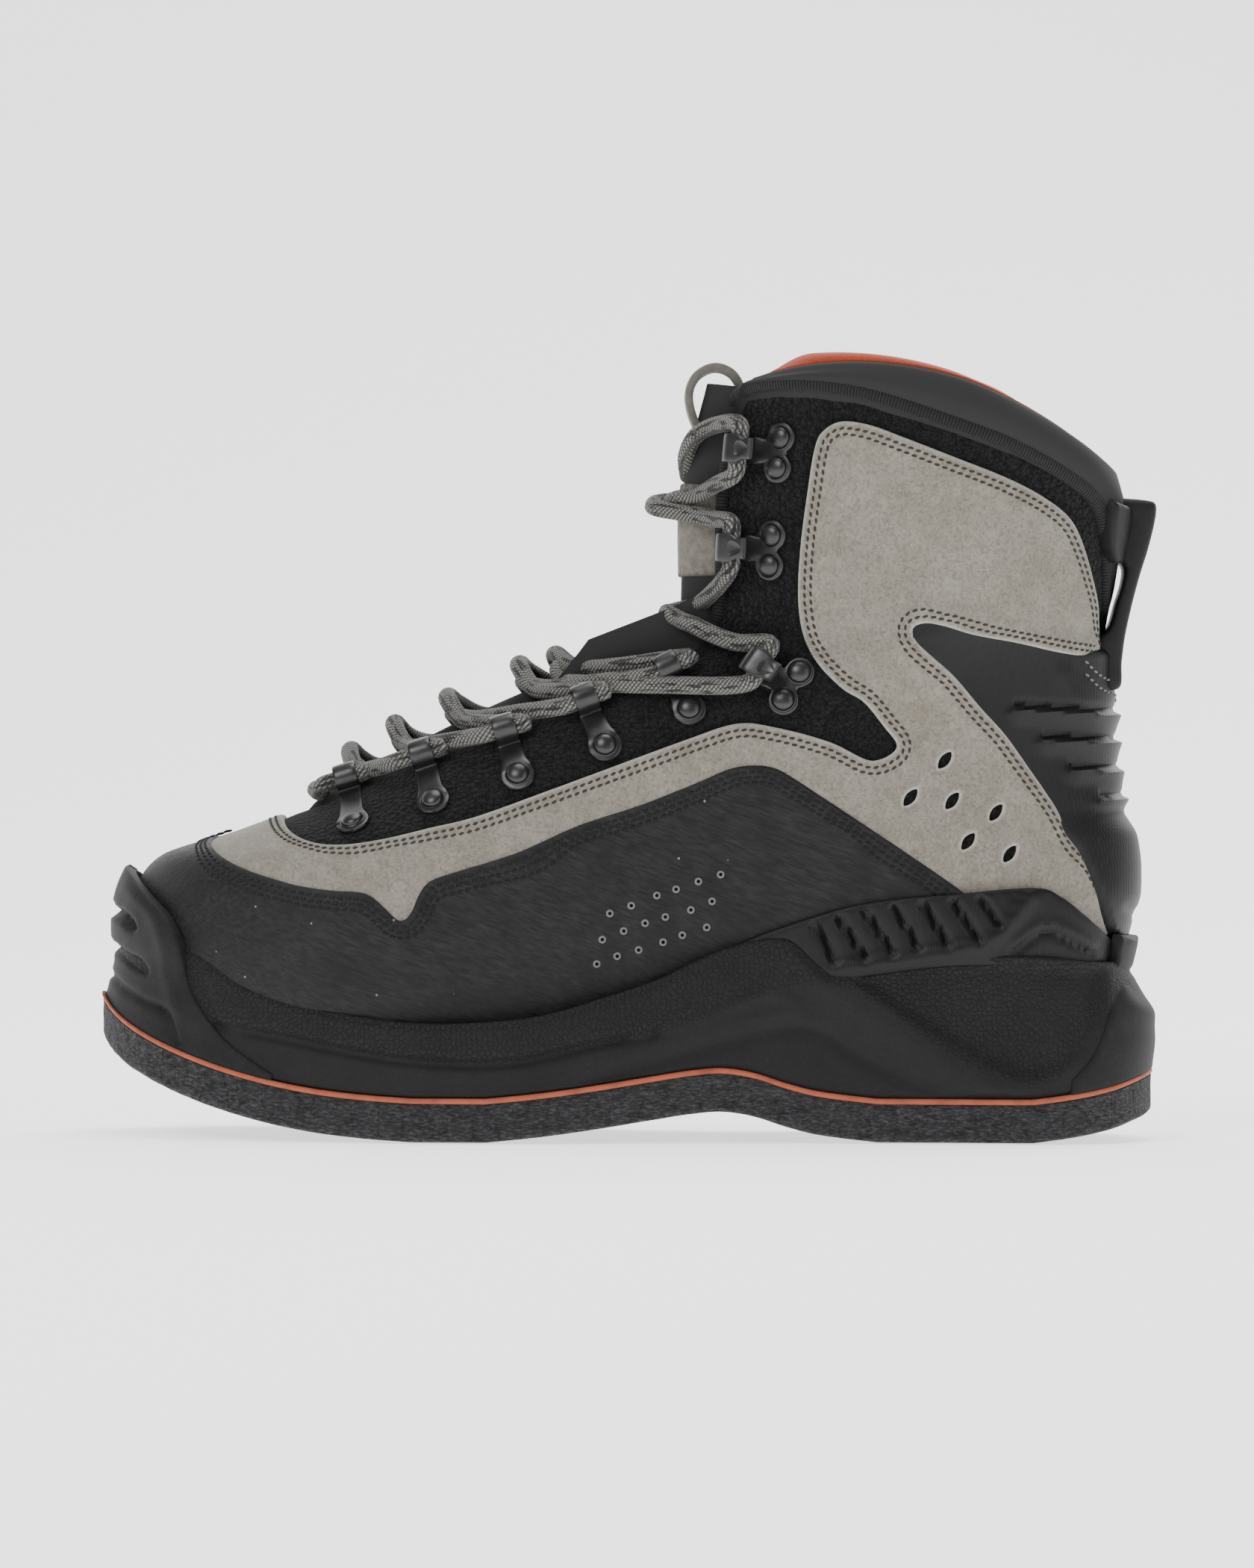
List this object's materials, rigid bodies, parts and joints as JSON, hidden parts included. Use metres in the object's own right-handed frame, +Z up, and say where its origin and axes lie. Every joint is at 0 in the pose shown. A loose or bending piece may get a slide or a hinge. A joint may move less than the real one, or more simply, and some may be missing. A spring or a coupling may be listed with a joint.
{
  "type": "wading boot",
  "caption": "Ankle-high left wading boot with a felt sole, sculpted foam midsole, leather and mesh upper, loop eyelets, hooks and a round lace.",
  "frame": {"origin": "on the floor at the flat of the heel, on the sole's middle line", "axes": "+X towards the heel, toe at -X; +Y towards the inner (big toe) side of the foot; +Z up"},
  "size_m": [0.315, 0.1148, 0.2306],
  "materials": {
    "felt": "dense needled felt, cracked and dusty at the edge",
    "foxing": "matt terracotta foam strip",
    "foam": "moulded EVA foam, satin waves and grained recesses",
    "rubber": "matt rubber, dusty",
    "knit_mesh": "coarse woven nylon mesh",
    "nubuck": "waxed grey nubuck, mottled",
    "moulded": "soft moulded TPU with a fine grid",
    "spacer_mesh": "padded spacer mesh",
    "insole_cloth": "brushed cloth on foam",
    "hardware": "satin black enamel on steel",
    "lace": "round braided cord, grey with black flecks"
  },
  "bodies": {
    "root": {"felt_outsole": "felt", "foxing_strip": "foxing", "midsole": "foam", "toe_bumper": "rubber", "heel_cradle": "rubber", "upper": "knit_mesh", "rand": "rubber", "leather_quarter_lateral": "nubuck", "leather_quarter_medial": "nubuck", "heel_counter": "moulded", "stabiliser_lateral": "moulded", "stabiliser_medial": "moulded", "collar_padding": "spacer_mesh", "tongue": "spacer_mesh", "tongue_pull_loop": "nubuck", "insole": "insole_cloth", "heel_pull_tab": "moulded", "lace_bar": "lace", "eyelet_lateral_1": "hardware", "eyelet_lateral_2": "hardware", "eyelet_lateral_3": "hardware", "eyelet_lateral_4": "hardware", "eyelet_lateral_5": "hardware", "hook_lateral_1": "hardware", "hook_lateral_2": "hardware", "hook_lateral_3": "hardware", "eyelet_medial_1": "hardware", "eyelet_medial_2": "hardware", "eyelet_medial_3": "hardware", "eyelet_medial_4": "hardware", "eyelet_medial_5": "hardware", "hook_medial_1": "hardware", "hook_medial_2": "hardware", "hook_medial_3": "hardware", "lace_cross_1": "lace", "lace_cross_2": "lace", "lace_cross_3": "lace", "lace_cross_4": "lace", "lace_cross_5": "lace", "lace_cross_6": "lace", "lace_cross_7": "lace"}
  },
  "joints": []
}
